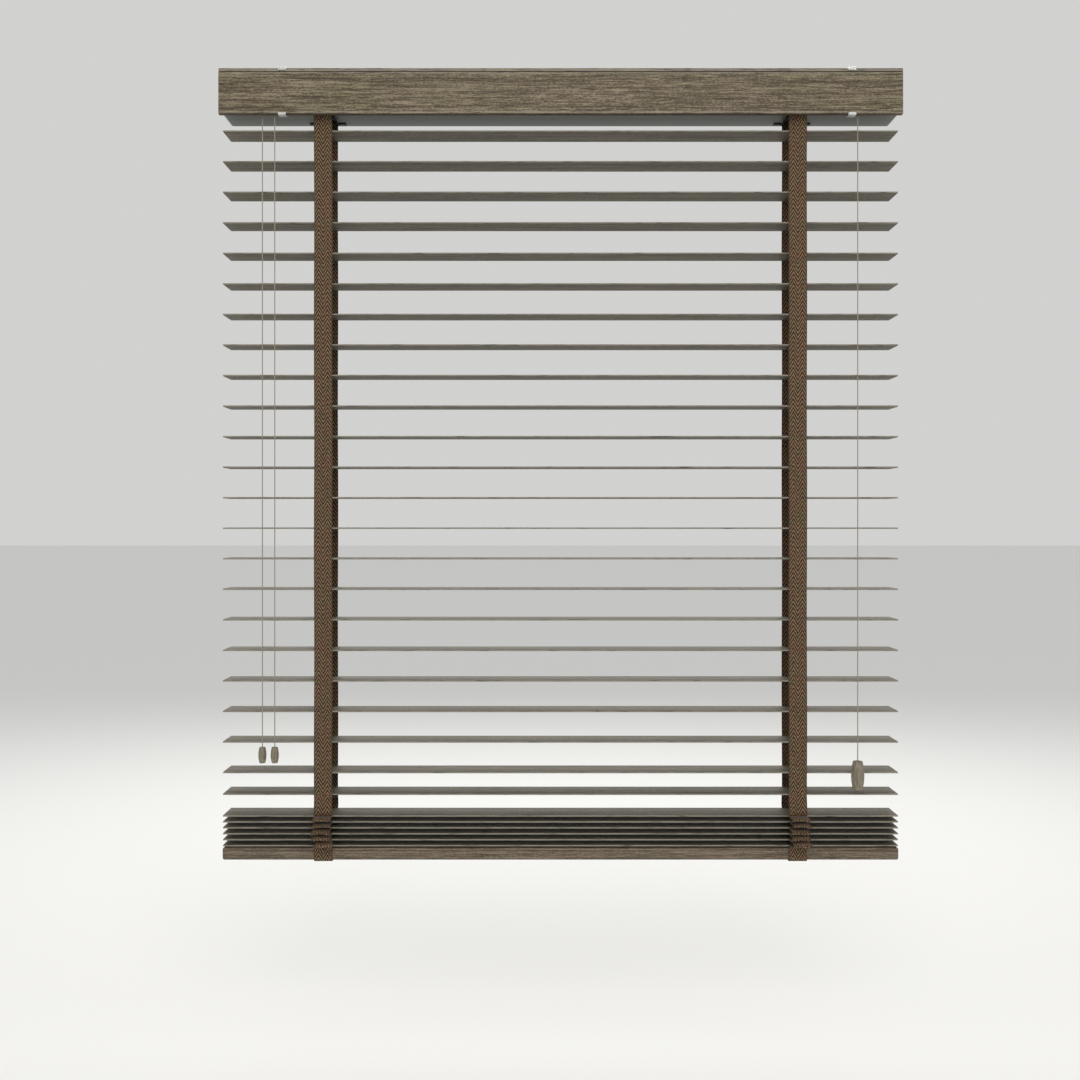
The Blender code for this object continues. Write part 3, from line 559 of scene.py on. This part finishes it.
def grid_mesh(name, rows, across, lengths):
    """A net of points, row by row, with the map that its weave follows."""
    columns = len(across)
    faces = [
        (r * columns + c, r * columns + c + 1, (r + 1) * columns + c + 1, (r + 1) * columns + c)
        for r in range(len(rows) - 1)
        for c in range(columns - 1)
    ]
    mesh = bpy.data.meshes.new(name)
    mesh.from_pydata([point for row in rows for point in row], [], faces)
    layer = mesh.uv_layers.new(name="weave")
    for loop in mesh.loops:
        row, column = divmod(loop.vertex_index, columns)
        layer.data[loop.index].uv = (across[column], lengths[row])
    return mesh


def lengths_along(line):
    total, result = 0.0, [0.0]
    for start, end in zip(line, line[1:]):
        total += (Vector(end) - Vector(start)).length
        result.append(total)
    return result


# ----------------------------------------------------------------------- tapes
ACROSS = [i / 10 for i in range(11)]


def added(name, mesh):
    piece = bpy.data.objects.new(name, mesh)
    bpy.context.scene.collection.objects.link(piece)
    return piece


def woven(name, line, face, finish, warp=None):
    """A tape along a line of (x, y, z) middles, with warp(u, i) moving its points."""
    lengths = lengths_along(line)
    rows = []
    for i, (x, y, z) in enumerate(line):
        row = []
        for u in ACROSS:
            out, up = warp(u, i) if warp else (0, 0)
            row.append((x + face * (0.5 - u) * TAPE_WIDTH, y + face * out, z + up))
        rows.append(row)
    piece = added(name, grid_mesh(name, rows, ACROSS, lengths))
    thick = piece.modifiers.new("thickness", "SOLIDIFY")
    thick.thickness = TAPE_THICKNESS
    thick.offset = 0
    apply_all(piece)
    smooth(piece, 50)
    dress(piece, finish)
    return piece


def smooth_line(points, steps):
    """A smooth line through the given points, with so many steps between two of them."""
    points = [Vector(p) for p in points]
    line = []
    for i in range(len(points) - 1):
        p0, p1 = points[max(i - 1, 0)], points[i]
        p2, p3 = points[i + 1], points[min(i + 2, len(points) - 1)]
        for k in range(steps):
            t = k / steps
            line.append(
                0.5 * (2 * p1 + (p2 - p0) * t + (2 * p0 - 5 * p1 + 4 * p2 - p3) * t * t
                       + (3 * p1 - p0 - 3 * p2 + p3) * t**3)
            )
    return [*line, points[-1]]


# One fold between two stacked slats: (outward, downward) shares of its depth and of its pitch.
FOLDS = {
    "front": [
        (0.00, 0.00), (0.24, 0.01), (0.50, 0.05), (0.76, 0.16), (0.94, 0.34), (1.00, 0.54),
        (0.93, 0.70), (0.73, 0.78), (0.49, 0.80), (0.26, 0.83), (0.07, 0.90),
    ],
    "back": [
        (0.00, 0.00), (0.25, 0.10), (0.50, 0.32), (0.75, 0.62), (0.93, 0.95), (1.00, 1.25),
        (0.95, 1.46), (0.78, 1.47), (0.54, 1.19), (0.30, 0.93), (0.08, 0.87),
    ],
}
FOLD_DEPTH = {"front": 0.0168, "back": 0.0132}
BACK_SAG = 0.98
# The cloth in the folds reaches from the stack's top slat to the rail when it is let down.
FOOT_TOP = RAIL_TOP + 0.0004
# Each fold's lean sideways at its tip and the crossing of its two legs, in metres, and the
# sag of the front one.
LEANS = {
    "left": [
        (-0.0004, 0.0006, 0.56), (0.0004, -0.0004, 0.52), (-0.0022, 0.0008, 0.85),
        (-0.0008, 0.0004, 0.88), (0.0030, 0.0012, 1.08),
    ],
    "right": [
        (0.0016, 0.0008, 0.56), (0.0042, -0.0006, 0.52), (0.0008, 0.0008, 0.85),
        (0.0014, 0.0010, 0.88), (0.0034, 0.0014, 1.08),
    ],
}


def make_tapes(finish):
    """Each tape in four lengths, from its rocker in the headrail to its foot under the rail."""
    for name, side in SIDES:
        for place, face in (("front", -1), ("back", 1)):
            for length in (tape_strip, tape_bridge, tape_folds, tape_foot):
                length(name, side, place, face, finish)


def sway(z, side, face):
    """How far a tape wanders sideways at a height."""
    return 0.00025 * sin((z - SLAT_Z[0]) * 2 * pi / 0.31 + side + face)


def tape_strip(name, side, place, face, finish):
    """The straight length, which is a little slack between two slats."""
    x, y = side * TAPE_X, face * TAPE_Y
    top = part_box(f"tape_{place}_{name}")[1][2]
    steps = 190
    line = []
    for i in range(steps + 1):
        z = top + (LAST_SPREAD - top) * i / steps
        slack = 0.00022 * (1 - cos((z - SLAT_Z[0]) * 2 * pi / SLAT_PITCH))
        line.append((x + sway(z, side, face), y + face * slack, z))
    strip = woven(f"tape_strip_{place}_{name}", line, face, finish)
    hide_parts(f"tape_{place}_{name}")
    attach(strip, f"{place}_tapes")


def tape_bridge(name, side, place, face, finish):
    """The length from the last spread slat to the stack, which hangs slack."""
    x, y = side * TAPE_X, face * TAPE_Y
    drop = LAST_SPREAD - FIRST_STACKED
    points = [
        (x + sway(LAST_SPREAD, side, face), y, LAST_SPREAD),
        (x, y + face * 0.0008, LAST_SPREAD - 0.3 * drop),
        (x, y + face * 0.0024, LAST_SPREAD - 0.62 * drop),
        (x, y + face * 0.0028, LAST_SPREAD - 0.85 * drop),
        (x, y, FIRST_STACKED),
    ]
    bridge = woven(f"tape_bridge_{place}_{name}", smooth_line(points, 6), face, finish)
    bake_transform(bridge)


def tape_folds(name, side, place, face, finish):
    """The length that is folded up between the stacked slats, one fold to each pair."""
    x, y = side * TAPE_X, face * TAPE_Y
    heights = SLAT_Z[23:]
    fold, depth = FOLDS[place], FOLD_DEPTH[place]
    points, tips = [], []
    for k, (lean, cross, sag) in enumerate(LEANS[name]):
        pitch = heights[k] - heights[k + 1]
        if place == "back":
            sag = BACK_SAG
        for out, down in fold:
            fall = down * (1 + (sag - 1) * out)
            skew = lean * out - face * cross * sin(2 * pi * down)
            points.append((x + skew, y + face * out * depth, heights[k] - fall * pitch))
            tips.append(out)
    points.append((x, y, heights[-1]))
    points.append((x, y + face * 0.0022, heights[-1] - 0.0012))
    points.append((x, face * (SLAT_HALF_WIDTH + 0.0010), FOOT_TOP))
    tips += [0, 0.2, 0]
    steps = 3

    def limp(u, i):
        """A fold hangs lower at its edges, and waves a little across the tape."""
        tip = tips[min(i // steps, len(tips) - 1)]
        wave = sin(5.1 * u + 1.7 * (i // (steps * len(fold))) + side)
        return -0.0009 * tip * wave, -0.0010 * tip * (2 * u - 1) ** 2 - 0.0005 * tip * wave

    line = smooth_line(points, steps)
    pleats = woven(f"tape_folds_{place}_{name}", line, face, finish, limp)
    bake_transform(pleats)


def tape_foot(name, side, place, face, finish):
    """The end of the tape, down the bottom rail's face and turned in under it."""
    x, surface = side * TAPE_X, face * (SLAT_HALF_WIDTH + 0.0010)
    turn, under = 0.0018, 0.0012
    straight = RAIL_BOTTOM + turn - RAIL_TOP
    points = [(x, surface, FOOT_TOP + straight * i / 4) for i in range(5)]
    for i in range(1, 6):
        a = pi / 2 * i / 5
        z = RAIL_BOTTOM + turn - (turn + under) * sin(a)
        points.append((x, surface - face * turn * (1 - cos(a)), z))
    start, end = points[-1][1], face * 0.0068
    points += [(x, start + (end - start) * i / 5, RAIL_BOTTOM - under) for i in range(1, 6)]
    foot = woven(f"tape_foot_{place}_{name}", points, face, finish)
    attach(foot, "bottom_rail_body")


def make_rungs(finish):
    """Four narrow straps under each slat, two for each ladder."""
    half_length, half_width, from_middle = SLAT_HALF_WIDTH + 0.0007, 0.0016, 0.0083
    for name, height in zip(SLATS, SLAT_Z):
        top, under = height - 0.00108, height - 0.00152
        straps = []
        for side in (-1, 1):
            for step in (-1, 1):
                x = side * TAPE_X + step * from_middle
                low = (x - half_width, -half_length, under)
                high = (x + half_width, half_length, top)
                straps.append(block(low, high, 0.00018, 1))
        piece = joined(straps)
        settle(piece, f"rungs_{name}", finish, f"{name}_body")


# ----------------------------------------------------------------------- cords
def tube(name, line, finish, sides=10):
    """A cord's tube along a line of points, closed at its ends."""
    lengths = lengths_along(line)
    rows = []
    axis = Vector((0, 1, 0))
    for i, point in enumerate(line):
        before, after = Vector(line[max(i - 1, 0)]), Vector(line[min(i + 1, len(line) - 1)])
        tangent = (after - before).normalized()
        axis = (axis - tangent * axis.dot(tangent)).normalized()
        other = tangent.cross(axis)
        row = []
        for k in range(sides + 1):
            a = 2 * pi * (k % sides) / sides
            row.append(Vector(point) + CORD_RADIUS * (axis * cos(a) + other * sin(a)))
        rows.append(row)
    piece = added(name, grid_mesh(name, rows, [k / sides for k in range(sides + 1)], lengths))
    hold(piece)
    bpy.ops.object.mode_set(mode="EDIT")
    bpy.ops.mesh.select_all(action="SELECT")
    bpy.ops.mesh.remove_doubles(threshold=0.000005)
    bpy.ops.mesh.select_all(action="SELECT")
    bpy.ops.mesh.region_to_loop()
    bpy.ops.mesh.edge_face_add()
    bpy.ops.mesh.select_all(action="SELECT")
    bpy.ops.mesh.normals_make_consistent(inside=False)
    bpy.ops.object.mode_set(mode="OBJECT")
    smooth(piece, 60)
    dress(piece, finish)
    return piece


def hang(points, spacing=0.012):
    """Splits the straight runs between points into short steps."""
    line = []
    for start, end in zip(points, points[1:]):
        start, end = Vector(start), Vector(end)
        count = max(1, round((end - start).length / spacing))
        line += [start.lerp(end, i / count) for i in range(count)]
    return [*line, Vector(points[-1])]


def make_tilt_cords(finish):
    """Each cord comes off its side of the tilter's pulley and hangs to its tassel."""
    pulley = middle("tilter_worm")
    for (name, side), body in zip(SIDES, ("tilt_tassel_a", "tilt_tassel_b")):
        low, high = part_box(f"tilt_cord_{name}")
        y = (low.y + high.y) / 2
        radius = abs((low.x if side < 0 else high.x) - pulley.x) - CORD_RADIUS
        centre = Vector((pulley.x, y, high.z - CORD_RADIUS - radius))
        points = []
        for i in range(9):
            a = (pi / 2 + 0.035) * (1 - i / 8)
            points.append(centre + Vector((side * radius * cos(a), 0, radius * sin(a))))
        end = Vector((centre.x + side * radius, y, low.z - 0.0015))
        line = hang([*points, end])
        cord = tube(f"tilt_pull_{name}", line, finish)
        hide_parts(f"tilt_cord_{name}")
        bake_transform(cord)
        lengths_along(line)[-1]


def make_pull_cord(finish):
    low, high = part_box("lift_pull_cord")
    x, y = (low.x + high.x) / 2, (low.y + high.y) / 2
    start, end = Vector((x, y, high.z)), Vector((x, y, low.z - 0.003))
    line = hang([start, end])
    cord = tube("lift_pull", line, finish)
    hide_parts("lift_pull_cord")
    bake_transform(cord)
    lengths_along(line)[-1]


def make_lift_cords(finish):
    """The cords inside the blind: from the lock along the headrail and down through the slats."""
    for name, side in SIDES:
        low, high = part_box(f"lift_cord_{name}")
        x, run_y, run_z = side * TAPE_X, -side * 0.0022, high.z - CORD_RADIUS
        bend = 0.004
        points = [Vector((high.x, run_y, run_z))]
        for i in range(9):
            a = pi / 2 + pi / 2 * i / 8
            across = bend + bend * cos(a)
            points.append(
                Vector((x + across, run_y * across / bend, run_z - bend + bend * sin(a)))
            )
        end = Vector((x, 0, low.z))
        line = hang([*points, end], 0.02)
        cord = tube(f"lift_run_{name}", line, finish, 8)
        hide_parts(f"lift_cord_{name}")
        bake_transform(cord)
        lengths_along(line)[-1]


# --------------------------------------------------------------- turned tassels
# (radius, depth) shares of the tassel's radius and height, from its top down.
TASSEL = [
    (0.20, 0.030), (0.24, 0.004), (0.50, 0.000), (0.68, 0.006), (0.76, 0.024), (0.79, 0.052),
    (0.79, 0.070), (0.765, 0.080), (0.775, 0.090), (0.82, 0.105), (0.88, 0.18), (0.94, 0.28),
    (0.985, 0.40), (1.00, 0.50), (0.99, 0.60), (0.955, 0.70), (0.90, 0.79), (0.83, 0.865),
    (0.80, 0.892), (0.765, 0.902), (0.765, 0.914), (0.785, 0.926), (0.765, 0.960),
    (0.70, 0.984), (0.58, 0.997), (0.40, 1.000), (0.30, 0.988), (0.26, 0.960),
]


def make_tassels(finish):
    made = {}
    bodies = {"tilt_tassel_left": "tilt_tassel_a", "tilt_tassel_right": "tilt_tassel_b",
              "lift_tassel": "lift_handle"}
    for node, body in bodies.items():
        low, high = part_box(node)
        radius, height = (high.x - low.x) / 2, high.z - low.z
        centre = ((low.x + high.x) / 2, (low.y + high.y) / 2, high.z)
        piece = lathe(centre, [(r * radius, -d * height) for r, d in TASSEL], 48)
        smooth(piece, 35)
        settle(piece, f"{node}_turned", finish, body)
        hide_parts(node)
        made[node] = piece
    return made


# -------------------------------------------------------- valance and bottom rail
def carved(piece, cutters):
    """Cuts the cutters out of the piece and takes them away."""
    for cutter in cutters:
        cut = piece.modifiers.new("cut", "BOOLEAN")
        cut.object, cut.solver = cutter, "EXACT"
        apply_all(piece)
        bpy.data.objects.remove(cutter)
    return piece


def eased(piece, width, segments, angle=50):
    """Eases every edge that is sharper than the angle."""
    ease = piece.modifiers.new("ease", "BEVEL")
    ease.width, ease.segments = width, segments
    ease.limit_method, ease.angle_limit = "ANGLE", radians(angle)
    apply_all(piece)
    return piece


def make_valance(finish):
    """The board in front of the headrail: a narrow moulding and a quirk run along its top."""
    low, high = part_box("valance")
    board = block(low, high, 0.0009, 3)
    start, end = low.x - 0.01, high.x + 0.01
    rebate = block((start, low.y - 0.01, BAND_LOW), (end, low.y + 0.0009, high.z + 0.01), 0)
    groove = block(
        (start, low.y - 0.01, BAND_LOW - GROOVE_HEIGHT), (end, low.y + 0.0026, BAND_LOW), 0
    )
    board = eased(carved(board, [rebate, groove]), 0.00025, 2)
    smooth(board, 40)
    settle(board, "valance_board", finish, "headrail_assembly")
    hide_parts("valance")


def make_bottom_rail(finish):
    """The bottom rail with a fine bead along its front and back, and its two cord holes."""
    low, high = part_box("bottom_rail")
    rail = block(low, high, 0.0026, 4)
    line = high.z - 0.0037
    cutters = []
    for face in (-1, 1):
        y = face * high.y
        near, far = sorted((y + face * 0.01, y - face * 0.0008))
        cutters.append(
            block((low.x - 0.01, near, line - 0.0004), (high.x + 0.01, far, line + 0.0004), 0)
        )
    for _, side in SIDES:
        deselect()
        bpy.ops.mesh.primitive_cylinder_add(
            vertices=24, radius=0.0025, depth=0.04,
            location=(side * TAPE_X, 0, (low.z + high.z) / 2),
        )
        cutters.append(bpy.context.object)
    rail = eased(carved(rail, cutters), 0.0003, 2, 60)
    smooth(rail, 40)
    settle(rail, "bottom_rail_bar", finish, "bottom_rail_body")
    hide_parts("bottom_rail")


# ------------------------------------------------------------------ small parts
# (radius, height) from the rail's underside, from the stem's top down.
BUTTON = [
    (0.0024, 0.0055), (0.0024, -0.0018), (0.0078, -0.0018), (0.0084, -0.0021),
    (0.0085, -0.0026), (0.0078, -0.0034), (0.0060, -0.0040), (0.0040, -0.0042),
    (0.0034, -0.0038), (0.0020, -0.0036),
]
# (radius, height) from the lintel, from the shank down to the head's crown.
SCREW = [
    (0.0008, -0.0002), (0.0018, -0.0006), (0.0018, -0.0015), (0.0038, -0.0015),
    (0.0039, -0.0021), (0.0034, -0.0030), (0.0022, -0.0035), (0.0008, -0.0036),
]


def make_rail_buttons(finish):
    """The moulded buttons that hold the tape ends under the bottom rail."""
    for name, side in SIDES:
        piece = lathe((side * TAPE_X, 0, RAIL_BOTTOM), BUTTON, 32)
        smooth(piece, 35)
        settle(piece, f"rail_button_{name}", finish, "bottom_rail_body")


def make_screws(finish):
    """Pan-head screws that hold the brackets to the lintel."""
    for name, side in SIDES:
        x = middle(f"bracket_{name}").x
        for step in (-1, 1):
            centre = (x, step * 0.009, 0)
            head = lathe(centre, SCREW, 24)
            for recess in ((0.0044, 0.0008, 0.0014), (0.0008, 0.0044, 0.0014)):
                low = Vector(centre) - Vector((recess[0] / 2, recess[1] / 2, 0.0040))
                carved(head, [block(low, low + Vector(recess), 0.0001, 1)])
            smooth(head, 35)
            label = "front" if step < 0 else "back"
            settle(head, f"screw_{name}_{label}", finish, "headrail_assembly")


def make_lugs(finish):
    """The snap lugs of each cradle, which stand out under the headrail beside the tapes."""
    for name, side in SIDES:
        lugs = []
        for step in (-1, 1):
            inner = side * TAPE_X + step * 0.0155
            outer = side * TAPE_X + step * 0.0268
            low = (min(inner, outer), 0.0140, HEADRAIL_BOTTOM - 0.0020)
            high = (max(inner, outer), 0.0230, HEADRAIL_BOTTOM + 0.0004)
            lugs.append(block(low, high, 0.0006))
        piece = joined(lugs)
        smooth(piece, 35)
        settle(piece, f"cradle_lugs_{name}", finish, "headrail_assembly")


# ------------------------------------------------------------------------- main
def main():
    set_studio()
    set_camera()
    finishes = {
        "slat_wood": wood(
            "slat_wood",
            ((0.066, 0.057, 0.038), (0.138, 0.121, 0.086), (0.225, 0.203, 0.152)),
            (0.86, 0.89, 0.84, 1),
            slat_edge_highlight,
        ),
        "trim_wood": wood(
            "trim_wood",
            ((0.062, 0.046, 0.029), (0.147, 0.115, 0.077), (0.290, 0.238, 0.166)),
            (0.90, 0.95, 0.84, 1),
            board_highlights,
            board_shade,
        ),
        "rail_wood": wood(
            "rail_wood",
            ((0.088, 0.068, 0.048), (0.165, 0.132, 0.094), (0.255, 0.212, 0.155)),
            (0.94, 0.90, 0.86, 1),
        ),
        "tassel_wood": turned_wood(),
        "headrail_paint": enamel(),
        "zinc_steel": plated_steel(),
        "black_plastic": moulded_black(),
        "clear_plastic": clear_moulding(),
        "tape_fabric": herringbone(),
        "cord_fabric": braid(),
    }
    slots = {part["node"]: part["material_slot"] for part in frame["record"]["subparts"]}
    for node, shape in frame["nodes"].items():
        dress(shape, finishes[slots[node]])
    tassels = make_tassels(finishes["tassel_wood"])
    make_tilt_cords(finishes["cord_fabric"])
    make_pull_cord(finishes["cord_fabric"])
    make_lift_cords(finishes["cord_fabric"])
    make_tapes(finishes["tape_fabric"])
    make_rungs(plain_weave())
    make_valance(finishes["trim_wood"])
    make_bottom_rail(finishes["rail_wood"])
    make_rail_buttons(finishes["black_plastic"])
    make_lugs(finishes["black_plastic"])
    make_screws(finishes["zinc_steel"])

    bpy.context.view_layer.update()


main()
